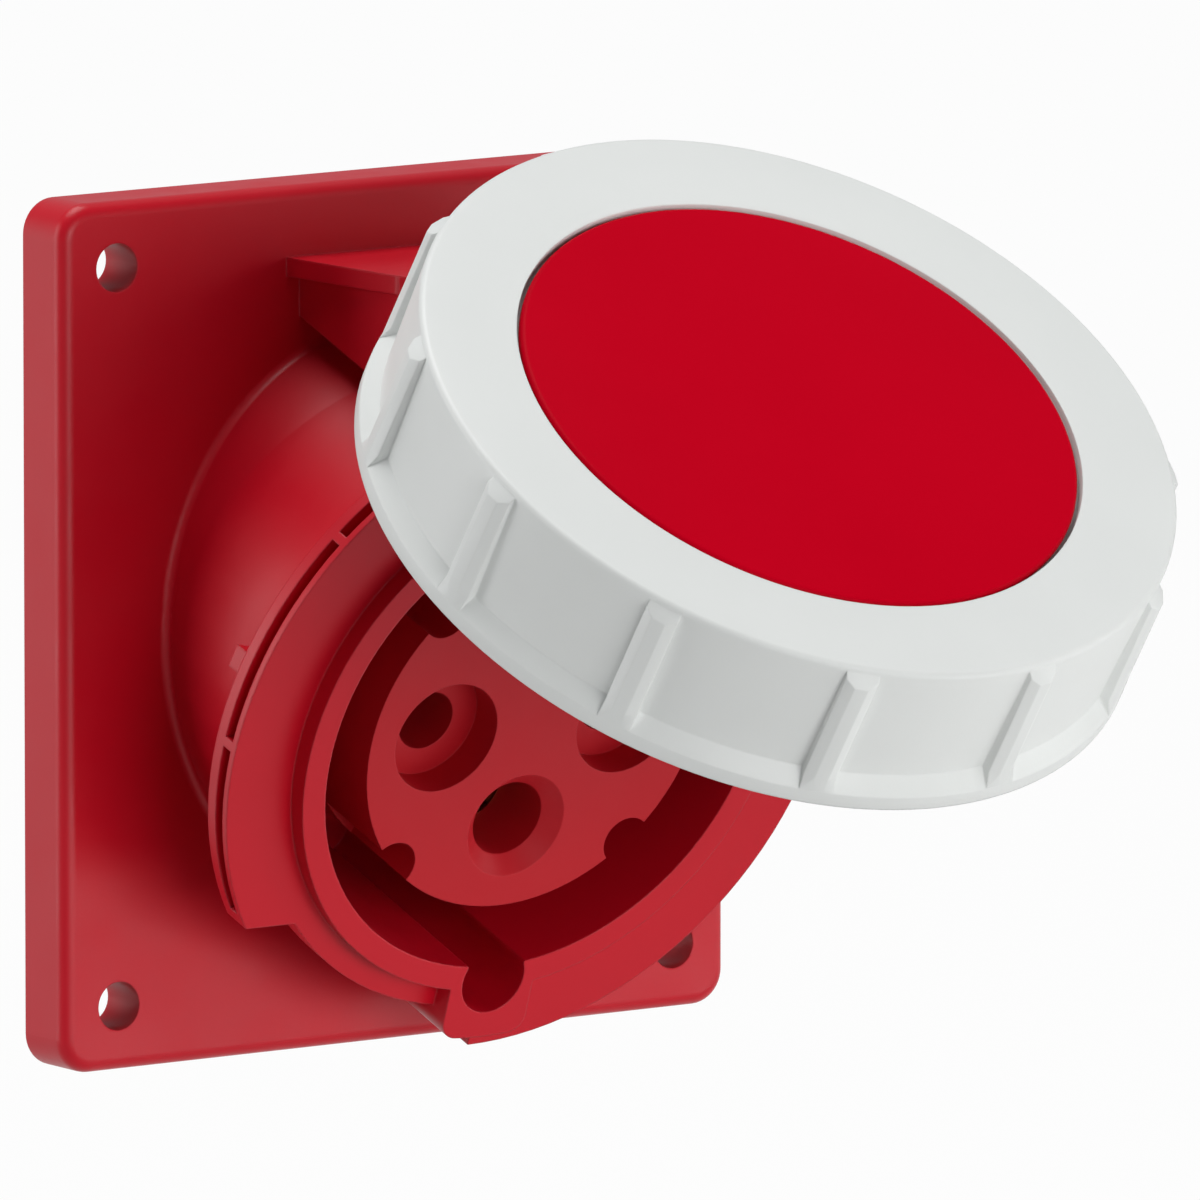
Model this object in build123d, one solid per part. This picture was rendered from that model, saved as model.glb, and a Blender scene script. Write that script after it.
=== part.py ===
from build123d import *
from math import cos, degrees, radians, sin
import os

# Industrial panel socket, three poles and earth, with a sloping watertight outlet,
# a hinged lid and a bayonet locking ring on the lid. Millimetres.
# Part frame: origin at the centre of the flange's rear face, +X to the right seen
# from the front, -Y towards the user, +Z up.
# Socket frame: origin where the socket axis leaves the flange's front face,
# x right, y up across the axis, z ahead along the axis.

# Flange
flange_w = 92.0
flange_h = 100.0
flange_t = 8.0
flange_corner_r = 4.0
flange_edge_r = 1.65
hole_inset = 7.5
hole_r = 2.8

# Gasket let into the flange's rear face, and the coring under it
gasket_t = 1.5
gasket_inset = 2.0
gasket_gap = 0.15
gasket_land = 8.5
gasket_opening_r = 13.0
core_depth = 3.2
core_rib = 1.6
core_w = 5.2
core_pitch = 18.0

# Sloping barrel and shroud
tilt = 20.0
rim_ahead = 32.0
skirt_room = 6.8
shroud_wall = 3.0
floor_depth = 38.0
floor_t = 7.0
root_wall = 2.2
root_fillet = 0.9
barrel_growth = 1.6
tail_len = 8.0
tail_wall = 2.9

# Bayonet collar behind the rim
rim_step = 2.5
collar_t = 4.0
shoulder_step = 3.2
collar_reach = 5.4
collar_top_angle = 107.0
collar_key_angle = 270.5
collar_end_angle = 33.27
web_angles = (140.5, 178.7)
web_t = 1.2
pocket_margin = 2.6
pocket_depth = 3.4
pocket_w = 1.5
front_band = 0.9
stop_angle = 165.3
stop_sweep = 4.0
stop_len = 4.4
stop_inset = 2.2

# Keyway at six o'clock
key_throat = 7.7
key_round_r = 4.2
key_depth = 6.0
key_boss_w = 11.4
key_boss_wall = 3.2
key_boss_fillet = 2.2

# Contact carrier
pin_circle_r = 12.5
carrier_edge = 10.3
carrier_fit = 0.15
carrier_recess = 2.0
carrier_flange_t = 4.0
carrier_flange_gap = 0.2
flute_r = 3.0
flute_depth = 12.0
carrier_gasket_t = 0.8
carrier_gasket_gap = 0.2

# Contact holes: phase, then earth
phase_entry_r = 3.6
phase_sink_r = 6.85
phase_sink_depth = 4.4
phase_land = 7.0
phase_bore_r = 3.05
phase_wall = 1.25
earth_entry_r = 4.6
earth_sink_r = 6.5
earth_land = 8.5
earth_bore_r = 4.05
earth_wall = 1.35
chamber_gap = 1.2
sleeve_slot = 1.0
sleeve_slot_len = 16.0
sleeve_set_back = 0.4
band_t = 0.7
band_w = 5.0
band_set_back = 2.5
band_gap = 0.02

# Terminals
terminal_t = 5.0
terminal_gap = 0.1
barrier_t = 2.2
barrier_len = 15.0
barrier_head_gap = 0.6
clamp_len = 13.0
clamp_r = 5.3
clamp_start = 1.0
neck_gap = 0.15
wire_hole_r = 3.1
wire_hole_depth = 10.5
screw_r = 2.0
screw_head_r = 3.2
screw_head_t = 2.2
screw_stand = 0.8
screw_slot = 0.9
pad_t = 1.0
pad_w = 4.6
pad_len = 7.0
carrier_screw_out = 2.8
carrier_screw_r = 1.4
carrier_screw_hole_r = 1.75
carrier_head_r = 2.8
carrier_head_t = 2.0
carrier_screw_grip = 5.0
pilot_spare = 1.0

# Locking ring
lid_stand = 8.0
ring_gap = 1.1
ring_wall = 2.9
ring_face_t = 3.2
ring_edge_r = 1.0
ring_hole_gap = 0.4
ring_step_w = 2.2
rib_count = 12
rib_phase = 10.0
rib_w = 3.6
rib_h = 1.1
rib_bevel = 0.45
lip_t = 1.8
lip_flare = 2.2
lug_mid = 236.5
lug_half = 15.0
lug_t = 4.3
lug_gap = 0.3
lug_depth = 3.8
lug_nose = 0.8

# Lid cap, disc and seal
ring_face_w = 12.0
disc_t = 1.5
disc_bevel = 0.35
disc_seat_gap = 0.2
cap_plate_t = 2.3
cap_face_gap = 0.3
cap_rim_gap = 0.7
cap_skirt_t = 2.2
cap_skirt_gap = 0.5
cap_hub_gap = 0.4
cap_rib_count = 6
cap_rib_t = 1.4
cap_rib_h = 2.6
cap_boss_r = 5.0
seal_inset = 0.5
seal_key_land = 1.6
seal_clearance = 0.1
seal_keeper = 1.8
seal_keeper_drop = 0.3

# Hinge
hinge_out = 3.9
hinge_back = 7.2
pin_r = 1.5
pin_fit = 0.06
ear_hole_fit = 0.01
ear_r = 4.2
ear_in = 10.2
ear_t = 3.3
knuckle_r = 3.6
knuckle_gap = 0.5
arm_w = 17.0
arm_t = 3.4
heel_reach = 5.6
heel_r = 1.2
heel_w = 10.0
heel_angle = 27.3
roof_t = 2.2
roof_root_w = 31.2
roof_tip_w = 27.2
roof_len = 21.0
roof_corner_r = 1.5
block_floor_t = 2.0
block_floor_gap = 1.1
block_len = 15.5
pedestal_w = 20.0
open_angle = 74.75

# Radii and places along the socket axis, worked out from the sizes above
hole_pitch_x = flange_w - 2 * hole_inset
hole_pitch_z = flange_h - 2 * hole_inset
carrier_r = pin_circle_r + carrier_edge
carrier_screw_circle = carrier_r + carrier_screw_out
shroud_r = carrier_r + skirt_room
shroud_out_r = shroud_r + shroud_wall
root_r = shroud_r + root_wall
tail_bore_r = root_r - tail_wall
shoulder_r = shroud_out_r + shoulder_step
collar_r = shoulder_r + collar_reach
collar_end_drop = collar_r * sin(radians(collar_end_angle))
stop_r = collar_r - stop_inset
key_boss_r = shroud_r + key_depth + key_boss_wall
collar_front = rim_ahead - rim_step
collar_back = collar_front - collar_t
barrel_top_r = root_r + barrel_growth
floor_front = rim_ahead - floor_depth
floor_back = floor_front - floor_t
tail_end = floor_back - tail_len
carrier_face = rim_ahead - carrier_recess
flange_front = floor_back - carrier_gasket_t
flange_back = flange_front - carrier_flange_t
terminal_front = flange_back - terminal_gap
terminal_back = terminal_front - terminal_t

lid_face = rim_ahead + lid_stand
ring_bore_r = collar_r + ring_gap
ring_r = ring_bore_r + ring_wall
rib_r = ring_r + rib_h
disc_r = ring_r - ring_face_w
lug_front = collar_back - lug_gap
ring_bottom = lug_front - lug_t
ring_under = lid_face - ring_face_t
ring_hole_r = disc_r + ring_hole_gap
ring_step_r = ring_hole_r - ring_step_w
disc_back = lid_face - disc_t
cap_hub_r = ring_step_r - cap_hub_gap
cap_front = ring_under - cap_face_gap
cap_back = cap_front - cap_plate_t
cap_r = ring_bore_r - cap_rim_gap
seal_in_r = shroud_r - seal_inset
seal_out_r = shroud_r + key_depth + seal_key_land
seal_front = rim_ahead + seal_clearance
hinge_y = collar_r + hinge_out
hinge_z = ring_bottom - hinge_back
arm_out_y = (cap_r ** 2 - (arm_w / 2) ** 2) ** 0.5
arm_in_y = arm_out_y - arm_t

socket_frame = Plane(origin=(0, -flange_t, 0), x_dir=(1, 0, 0),
                     z_dir=(0, -cos(radians(tilt)), -sin(radians(tilt))))
hinge_line = Axis((0, hinge_y, hinge_z), (1, 0, 0))


def to_part(y, z):
    # A point of the socket frame's middle plane as (Y, Z) of the part frame.
    slope = radians(tilt)
    return -flange_t - z * cos(slope) - y * sin(slope), y * cos(slope) - z * sin(slope)


def flange_z(y):
    # How far back a line at height y along the socket axis meets the flange's mid-plane.
    return -(flange_t / 2 + y * sin(radians(tilt))) / cos(radians(tilt))


def set_on_axis(shape):
    return socket_frame.location * shape


def set_lid(shape):
    # Lid pieces are drawn closed and stand open at rest, as a user leaves the lid.
    return set_on_axis(shape.rotate(hinge_line, -open_angle))


def turned(*points):
    # A solid of revolution about the socket axis from (radius, ahead) points.
    return revolve(Plane.XZ * make_face(Polyline(*points, close=True)), Axis.Z)


def ring_slice(r0, r1, z0, z1, start, sweep):
    # A slice of a flat ring that starts at an angle from three o'clock.
    section = Plane.XZ * Pos((r0 + r1) / 2, (z0 + z1) / 2) * Rectangle(r1 - r0, z1 - z0)
    return Rot(0, 0, start) * revolve(section, Axis.Z, sweep)


def rod(r, z0, z1):
    return Pos(0, 0, (z0 + z1) / 2) * Cylinder(r, z1 - z0)


def at_angle(radius, angle):
    return radius * cos(radians(angle)), radius * sin(radians(angle))


def grid_positions(step_x, step_z):
    return [(sx * step_x / 2, sz * step_z / 2) for sx in (-1, 1) for sz in (-1, 1)]


def drill_y(x, z, r, y0, y1):
    return Pos(x, (y0 + y1) / 2, z) * Rot(90, 0, 0) * Cylinder(r, abs(y1 - y0))


def slab_y(face, y0, depth):
    # Extrudes a face drawn in the X-Z plane forwards, from y0 towards the user.
    return Pos(0, y0, 0) * extrude(Plane.XZ * face, depth)


# Flange with its rounded front edge, gasket recess and coring
def flange_plate():
    plate = slab_y(RectangleRounded(flange_w, flange_h, flange_corner_r), 0, flange_t)
    plate = fillet(plate.faces().sort_by(Axis.Y)[0].edges(), flange_edge_r)
    inner_r = flange_corner_r - gasket_inset
    recess = RectangleRounded(flange_w - 2 * gasket_inset, flange_h - 2 * gasket_inset, inner_r)
    plate -= slab_y(recess, 0, gasket_t)
    for x, z, w, h in core_cells():
        plate -= Pos(x, -gasket_t - core_depth / 2, z) * Box(w, core_depth, h)
    return plate


def core_cells():
    # Pockets in a row along each side, kept clear of the screw holes.
    side_x = flange_w / 2 - gasket_inset - core_rib - core_w / 2
    side_z = flange_h / 2 - gasket_inset - core_rib - core_w / 2
    cell = core_pitch - core_rib
    cells = []
    for along, limit in (("z", hole_pitch_z / 2), ("x", hole_pitch_x / 2)):
        free = limit - hole_r - 2 * core_rib
        count = int(2 * free / core_pitch)
        for i in range(count):
            place = (i - (count - 1) / 2) * core_pitch
            for side in (-1, 1):
                if along == "z":
                    cells.append((side * side_x, place, core_w, cell))
                else:
                    cells.append((place, side * side_z, cell, core_w))
    return cells


def barrel_solid():
    return turned((0, tail_end), (root_r, tail_end), (root_r, 0), (barrel_top_r, collar_back),
                  (shoulder_r, collar_back), (shoulder_r, collar_front),
                  (shroud_out_r, collar_front), (shroud_out_r, rim_ahead), (0, rim_ahead))


def barrel_bore():
    return turned((0, tail_end - 1), (tail_bore_r, tail_end - 1), (tail_bore_r, floor_back),
                  (carrier_r + carrier_fit, floor_back), (carrier_r + carrier_fit, floor_front),
                  (shroud_r, floor_front), (shroud_r, rim_ahead + 1), (0, rim_ahead + 1))


# Bayonet collar: two flat segments with pockets in their outer edge
def collar_segment():
    end_angle = 180 + collar_end_angle
    sweep = end_angle + 10 - collar_top_angle
    segment = ring_slice(barrel_top_r, collar_r, collar_back, collar_front,
                         collar_top_angle, sweep)
    reach = 2 * collar_r
    drop = Pos(-reach / 2, -collar_end_drop - reach / 2, collar_front)
    segment -= drop * Box(reach, reach, 4 * collar_t)
    web_half = degrees(web_t / 2 / collar_r)
    starts = [collar_top_angle + pocket_margin] + [a + web_half for a in web_angles]
    ends = [a - web_half for a in web_angles] + [end_angle - pocket_margin]
    pocket_front = collar_front - front_band
    for start, end in zip(starts, ends):
        segment -= ring_slice(collar_r - pocket_depth, collar_r + 1, pocket_front - pocket_w,
                              pocket_front, start, end - start)
    stop = ring_slice(root_r, stop_r, collar_back - stop_len, collar_back, stop_angle, stop_sweep)
    return segment + stop


def key_boss():
    half = key_boss_w / 2
    depth = rim_ahead + flange_t
    outline = Circle(key_boss_r) & Pos(0, -key_boss_r / 2 - shroud_r / 2) * Rectangle(
        key_boss_w, key_boss_r)
    outline = fillet(outline.vertices().sort_by(Axis.Y)[:2], key_boss_fillet)
    return Pos(0, 0, rim_ahead - depth) * extrude(outline, depth)


def key_groove():
    depth = rim_ahead - floor_front
    centre = shroud_r + key_depth - key_round_r
    outline = Pos(0, -centre) * Circle(key_round_r)
    outline += Pos(0, -centre / 2) * Rectangle(key_throat, centre)
    return Pos(0, 0, floor_front) * extrude(outline, depth + 1)


# Hinge block: floor, two ears and a roof, drawn in the part frame
def ear_outline():
    pin_y, pin_z = to_part(hinge_y, hinge_z)
    low_y = root_r + block_floor_gap
    root_low = to_part(low_y, flange_z(low_y))
    front_low = to_part(low_y, block_len)
    corners = [(-flange_t / 2, pin_z + ear_r), root_low, front_low]
    sketch = Pos(pin_y, pin_z) * Circle(ear_r)
    lines = Polyline(*corners)
    return make_hull(sketch.edges() + lines.edges())


def hinge_block():
    pin_y, pin_z = to_part(hinge_y, hinge_z)
    roof_top = pin_z + ear_r
    outer = ear_in + ear_t
    ear = extrude(Plane.YZ * ear_outline(), ear_t)
    block = Pos(ear_in, 0, 0) * ear + Pos(-outer, 0, 0) * ear
    low_y = root_r + block_floor_gap
    root_z = flange_z(low_y)
    middle = (block_len + root_z) / 2
    slab = Pos(0, low_y + block_floor_t / 2, middle)
    block += set_on_axis(slab * Box(2 * outer, block_floor_t, block_len - root_z))
    pedestal_h = low_y - shroud_r + block_floor_t / 2
    pedestal = Pos(0, shroud_r + pedestal_h / 2, middle)
    block += set_on_axis(pedestal * Box(pedestal_w, pedestal_h, block_len - root_z))
    front = -flange_t - roof_len
    rear = -flange_t / 2
    taper = Polyline((-roof_root_w / 2, rear), (-roof_tip_w / 2, front), (roof_tip_w / 2, front),
                     (roof_root_w / 2, rear), close=True)
    roof_face = make_face(taper)
    roof_face = fillet(roof_face.vertices().sort_by(Axis.Y)[:2], roof_corner_r)
    block += Pos(0, 0, roof_top - roof_t) * extrude(roof_face, roof_t)
    hole = Pos(0, pin_y, pin_z) * Rot(0, 90, 0) * Cylinder(pin_r + ear_hole_fit, 2 * outer + 2)
    return block - hole


def housing():
    body = flange_plate() + set_on_axis(barrel_solid())
    junction = [e for e in body.edges().filter_by(GeomType.LINE, reverse=True)
                if abs(e.center().Y + flange_t) < 0.01 and e.length > 2 * root_r
                and e.length < 8 * root_r]
    body = fillet([e for e in junction if abs(e.center().X) < 1], root_fillet)
    collar = collar_segment()
    key_side = ring_slice(barrel_top_r, collar_r, collar_back, collar_front, collar_key_angle,
                          180 + collar_top_angle - collar_key_angle + 1)
    body += set_on_axis(key_boss()) + set_on_axis(collar)
    body += set_on_axis(Rot(0, 0, 180) * collar) + set_on_axis(key_side)
    body += hinge_block()
    body -= set_on_axis(barrel_bore()) + set_on_axis(key_groove())
    for angle in (45, 135, 225, 315):
        x, y = at_angle(carrier_screw_circle, angle)
        depth = carrier_screw_grip + pilot_spare
        body -= set_on_axis(Pos(x, y, floor_back + depth / 2) * Cylinder(carrier_screw_r, depth))
    for x, z in grid_positions(hole_pitch_x, hole_pitch_z):
        body -= drill_y(x, z, hole_r, 1, -flange_t - 1)
    return body


def flange_gasket():
    inset = gasket_inset + gasket_gap
    w = flange_w - 2 * inset
    h = flange_h - 2 * inset
    sheet = RectangleRounded(w, h, flange_corner_r - gasket_inset)
    opening = RectangleRounded(w - 2 * gasket_land, h - 2 * gasket_land, gasket_opening_r)
    gasket = slab_y(sheet - opening, 0, gasket_t)
    for x, z in grid_positions(hole_pitch_x, hole_pitch_z):
        gasket -= drill_y(x, z, hole_r, 1, -flange_t)
    return gasket


# Contacts: twelve, three, six and nine o'clock, with the earth at the keyway
contacts = {"phase_sleeve_1": 180.0, "phase_sleeve_2": 90.0, "phase_sleeve_3": 0.0,
            "earth_sleeve": 270.0}


def contact_sizes(name):
    # Entry radius, bore radius, wall and the sleeve's front end.
    if name == "earth_sleeve":
        front = carrier_face - (earth_sink_r - earth_entry_r) - earth_land
        return earth_entry_r, earth_bore_r, earth_wall, front
    front = carrier_face - phase_sink_depth - phase_land
    return phase_entry_r, phase_bore_r, phase_wall, front


def chamber_r(name):
    entry, bore, wall, front = contact_sizes(name)
    return bore + wall + chamber_gap


def contact_carrier():
    core = rod(carrier_r, flange_back, carrier_face)
    core += rod(tail_bore_r - carrier_flange_gap, flange_back, flange_front)
    for name, angle in contacts.items():
        x, y = at_angle(pin_circle_r, angle)
        entry, bore, wall, front = contact_sizes(name)
        hole = rod(entry, front - 1, carrier_face + 1) + rod(chamber_r(name), flange_back - 1, front)
        if name == "earth_sleeve":
            sink = earth_sink_r - earth_entry_r
            hole += turned((0, carrier_face - sink), (earth_entry_r, carrier_face - sink),
                           (earth_sink_r, carrier_face), (0, carrier_face))
        else:
            hole += rod(phase_sink_r, carrier_face - phase_sink_depth, carrier_face + 1)
        core -= Pos(x, y, 0) * hole
    for angle in (45, 135, 225, 315):
        x, y = at_angle(carrier_r, angle)
        core -= Pos(x, y, 0) * rod(flute_r, carrier_face - flute_depth, carrier_face + 1)
        x, y = at_angle(carrier_screw_circle, angle)
        core -= Pos(x, y, 0) * rod(carrier_screw_hole_r, flange_back - 1, flange_front + 1)
    return core


def carrier_gasket():
    # Flat rubber ring between the carrier's flange and the barrel's floor.
    ring = rod(tail_bore_r - carrier_flange_gap, flange_front, floor_back)
    ring -= rod(carrier_r + carrier_gasket_gap, flange_front - 1, floor_back + 1)
    for angle in (45, 135, 225, 315):
        x, y = at_angle(carrier_screw_circle, angle)
        ring -= Pos(x, y, 0) * rod(carrier_screw_hole_r, flange_front - 1, floor_back + 1)
    return ring


def sleeve(name):
    # Slotted front, solid neck, and a clamp block with its wire hole and screw hole.
    entry, bore, wall, front = contact_sizes(name)
    front = front - sleeve_set_back
    outer = bore + wall
    clamp_front = terminal_back - clamp_start
    clamp_back = clamp_front - clamp_len
    body = rod(outer, clamp_front, front) + rod(clamp_r, clamp_back, clamp_front)
    body += rod(chamber_r(name) - neck_gap, flange_back, flange_back + carrier_flange_t)
    body -= rod(bore, front - 2 * sleeve_slot_len, front + 1)
    for turn in (45, 135):
        slot = Pos(0, 0, front - sleeve_slot_len / 2) * Box(sleeve_slot, 3 * outer, sleeve_slot_len)
        body -= Rot(0, 0, turn) * slot
    body -= rod(wire_hole_r, clamp_back - 1, clamp_back + wire_hole_depth)
    screw_z = clamp_back + wire_hole_depth / 2
    body -= Pos(clamp_r / 2, 0, screw_z) * Rot(0, 90, 0) * Cylinder(screw_r, clamp_r + 2)
    return body


def spring_band(name):
    # A split steel band around the sleeve's slotted front.
    entry, bore, wall, front = contact_sizes(name)
    top = front - sleeve_set_back - band_set_back
    inner = bore + wall + band_gap
    band = rod(inner + band_t, top - band_w, top) - rod(inner, top - band_w - 1, top + 1)
    return band - Pos(inner, 0, top - band_w / 2) * Box(3 * band_t, sleeve_slot, 2 * band_w)


def terminal_screw():
    clamp_back = terminal_back - clamp_start - clamp_len
    screw_z = clamp_back + wire_hole_depth / 2
    tip = wire_hole_r - pad_t - band_gap
    head = clamp_r + screw_stand
    screw = rod(screw_r, tip, head) + rod(screw_head_r, head, head + screw_head_t)
    screw -= Pos(0, 0, head + screw_head_t) * Box(3 * screw_head_r, screw_slot, screw_head_t)
    return Pos(0, 0, screw_z) * Rot(0, 90, 0) * screw


def wire_pad():
    # The pressure pad that the clamp screw pushes onto the wire.
    clamp_back = terminal_back - clamp_start - clamp_len
    screw_z = clamp_back + wire_hole_depth / 2
    reach = (wire_hole_r ** 2 - (pad_w / 2) ** 2) ** 0.5 - pad_t
    return Pos(reach + pad_t / 2 - band_gap, 0, screw_z) * Box(pad_t, pad_w, pad_len)


def at_contact(name, shape):
    # Puts a shape, drawn with its screw side towards +x, at its contact with that side outwards.
    angle = contacts[name]
    x, y = at_angle(pin_circle_r, angle)
    return set_on_axis(Pos(x, y, 0) * Rot(0, 0, angle) * shape)


def terminal_block():
    disc = rod(tail_bore_r - carrier_flange_gap, terminal_back, terminal_front)
    wall = Pos(0, 0, terminal_back - barrier_len / 2 + terminal_t / 2)
    reach = carrier_screw_circle - carrier_head_r - barrier_head_gap
    cross = Box(2 * reach, barrier_t, barrier_len + terminal_t)
    for turn in (45, 135):
        disc += wall * Rot(0, 0, turn) * cross
    for name, angle in contacts.items():
        x, y = at_angle(pin_circle_r, angle)
        entry, bore, wall_t, front = contact_sizes(name)
        disc -= Pos(x, y, 0) * rod(bore + wall_t + neck_gap, terminal_back - 1, terminal_front + 1)
        disc -= Pos(x, y, 0) * rod(clamp_r + neck_gap, terminal_back - 2 * barrier_len, terminal_back)
    for angle in (45, 135, 225, 315):
        x, y = at_angle(carrier_screw_circle, angle)
        disc -= Pos(x, y, 0) * rod(carrier_screw_hole_r, terminal_back - 1, terminal_front + 1)
    return disc


def carrier_screw():
    tip = floor_back + carrier_screw_grip
    screw = rod(carrier_screw_r, terminal_back, tip)
    screw += rod(carrier_head_r, terminal_back - carrier_head_t, terminal_back)
    slot = Pos(0, 0, terminal_back - carrier_head_t) * Box(3 * carrier_head_r, screw_slot,
                                                           carrier_head_t)
    return screw - slot


# Lid pieces, drawn closed over the rim
def locking_ring():
    flare_low = ring_bottom + lip_t
    flare_high = flare_low + lip_flare
    step_z = disc_back - disc_seat_gap
    profile = Polyline((ring_hole_r, lid_face), (ring_r - ring_edge_r, lid_face))
    profile += CenterArc((ring_r - ring_edge_r, lid_face - ring_edge_r), ring_edge_r, 0, 90)
    profile += Polyline((ring_r, lid_face - ring_edge_r), (ring_r, flare_high), (rib_r, flare_low),
                        (rib_r, ring_bottom), (ring_bore_r, ring_bottom),
                        (ring_bore_r, ring_under), (ring_step_r, ring_under),
                        (ring_step_r, step_z), (ring_hole_r, step_z), (ring_hole_r, lid_face))
    ring = revolve(Plane.XZ * make_face(profile.edges()), Axis.Z)
    top = lid_face - ring_edge_r
    inside = ring_bore_r + ring_wall / 2
    limit = turned((inside, ring_bottom), (rib_r, ring_bottom), (rib_r, top - rib_h),
                   (ring_r, top), (inside, top))
    half = rib_w / 2
    side = rib_r - rib_bevel
    section = make_face(Polyline((inside - 1, -half), (side, -half), (rib_r + 0.2, -half + rib_bevel),
                                 (rib_r + 0.2, half - rib_bevel), (side, half), (inside - 1, half),
                                 close=True))
    rib = Pos(0, 0, ring_bottom) * extrude(section, top - ring_bottom)
    for i in range(rib_count):
        ring += Rot(0, 0, rib_phase + i * 360 / rib_count) * rib & limit
    inner = ring_bore_r - lug_depth - ring_gap
    for turn in (0, 180):
        lug = ring_slice(inner, ring_bore_r + ring_wall / 2, ring_bottom, lug_front,
                         lug_mid - lug_half, 2 * lug_half)
        nose = turned((inner - 1, lug_front - lug_nose), (inner, lug_front - lug_nose),
                      (inner + lug_nose, lug_front), (inner + lug_nose, lug_front + 1),
                      (inner - 1, lug_front + 1))
        ring += Rot(0, 0, turn) * (lug - nose)
    return ring


def lid_disc():
    edge = lid_face - disc_bevel
    return turned((0, disc_back), (disc_r, disc_back), (disc_r, edge),
                  (disc_r - disc_bevel, lid_face), (0, lid_face))


def arm_profile():
    # Side view of the arm in (y, z): the strap inside the ring, the neck under the
    # ring's lower edge, and the knuckle with its stop heel.
    knuckle = Pos(hinge_y, hinge_z) * Circle(knuckle_r)
    under = ring_bottom - cap_face_gap
    neck = Polyline((arm_in_y, under + 2 * arm_t), (arm_out_y, under),
                    (arm_in_y, under - arm_t / 2))
    strap_low = under - arm_t / 2
    strap = Pos((arm_in_y + arm_out_y) / 2, (strap_low + cap_front) / 2) * Rectangle(
        arm_t, cap_front - strap_low)
    strap &= Pos(arm_out_y, (under + cap_front) / 2) * Rectangle(2 * arm_t, cap_front - under)
    return strap + make_hull(knuckle.edges() + neck.edges())


def lid_cap():
    skirt_out = seal_out_r + cap_skirt_t
    skirt_low = seal_front + cap_skirt_gap
    keep_in = seal_in_r - seal_keeper
    keep_low = seal_front - seal_keeper_drop
    plate_low = disc_back - cap_plate_t
    cap = turned((0, plate_low), (keep_in, plate_low), (keep_in, keep_low),
                 (seal_in_r, keep_low), (seal_in_r, cap_back), (seal_out_r, cap_back),
                 (seal_out_r, skirt_low), (skirt_out, skirt_low), (skirt_out, cap_back),
                 (cap_r, cap_back), (cap_r, cap_front),
                 (cap_hub_r, cap_front), (cap_hub_r, disc_back), (0, disc_back))
    cap += rod(cap_boss_r, plate_low - cap_rib_h, plate_low)
    for i in range(cap_rib_count):
        length = keep_in - cap_boss_r + 1
        rib = Pos(cap_boss_r - 0.5 + length / 2, 0, plate_low - cap_rib_h / 2) * Box(
            length, cap_rib_t, cap_rib_h)
        cap += Rot(0, 0, i * 360 / cap_rib_count) * rib
    arm = extrude(Plane.YZ * arm_profile(), arm_w / 2, both=True)
    strap_limit = rod(cap_r, hinge_z - 2 * knuckle_r, cap_front)
    strap_limit += Pos(0, hinge_y, 0) * Box(4 * ear_in, 4 * knuckle_r, 2 * (ring_bottom - cap_face_gap))
    cap += arm & strap_limit
    width = ear_in - knuckle_gap
    cap += Pos(0, hinge_y, hinge_z) * Rot(0, 90, 0) * Cylinder(knuckle_r, 2 * width)
    heel_y, heel_z = at_angle(heel_reach, heel_angle)
    heel = Pos(hinge_y, hinge_z) * Circle(knuckle_r / 2)
    heel_tip = Pos(hinge_y + heel_y, hinge_z + heel_z) * Circle(heel_r)
    cap += extrude(Plane.YZ * make_hull(heel.edges() + heel_tip.edges()), heel_w / 2, both=True)
    cap -= Pos(0, hinge_y, hinge_z) * Rot(0, 90, 0) * Cylinder(pin_r + pin_fit, 4 * ear_in)
    return cap


def lid_seal():
    return rod(seal_out_r, seal_front, cap_back) - rod(seal_in_r, seal_front - 1, cap_back + 1)


def hinge_pin():
    outer = ear_in + ear_t
    pin_y, pin_z = to_part(hinge_y, hinge_z)
    pin = Pos(0, pin_y, pin_z) * Rot(0, 90, 0) * Cylinder(pin_r, 2 * outer)
    return chamfer(pin.edges(), pin_r / 5)


phases = [name for name in contacts if name != "earth_sleeve"]

parts = {
    "housing": housing(),
    "flange_gasket": flange_gasket(),
    "contact_carrier": set_on_axis(contact_carrier()),
    "carrier_gasket": set_on_axis(carrier_gasket()),
    "terminal_block": set_on_axis(terminal_block()),
    "carrier_screws": Compound(children=[
        set_on_axis(Pos(*at_angle(carrier_screw_circle, a), 0) * carrier_screw())
        for a in (45, 135, 225, 315)]),
    "phase_spring_bands": Compound(children=[at_contact(n, spring_band(n)) for n in phases]),
    "earth_spring_band": at_contact("earth_sleeve", spring_band("earth_sleeve")),
    "phase_terminal_screws": Compound(children=[at_contact(n, terminal_screw()) for n in phases]),
    "earth_terminal_screw": at_contact("earth_sleeve", terminal_screw()),
    "phase_wire_pads": Compound(children=[at_contact(n, wire_pad()) for n in phases]),
    "earth_wire_pad": at_contact("earth_sleeve", wire_pad()),
    "hinge_pin": hinge_pin(),
    "lid_cap": set_lid(lid_cap()),
    "lid_disc": set_lid(lid_disc()),
    "lid_seal": set_lid(lid_seal()),
    "locking_ring": set_lid(locking_ring()),
}
for name in contacts:
    parts[name] = at_contact(name, sleeve(name))

os.makedirs("parts", exist_ok=True)
for name, shape in parts.items():
    export_step(shape, "parts/" + name + ".step")
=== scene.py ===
import bmesh
import bpy
import math
from mathutils import Matrix, Vector


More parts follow.
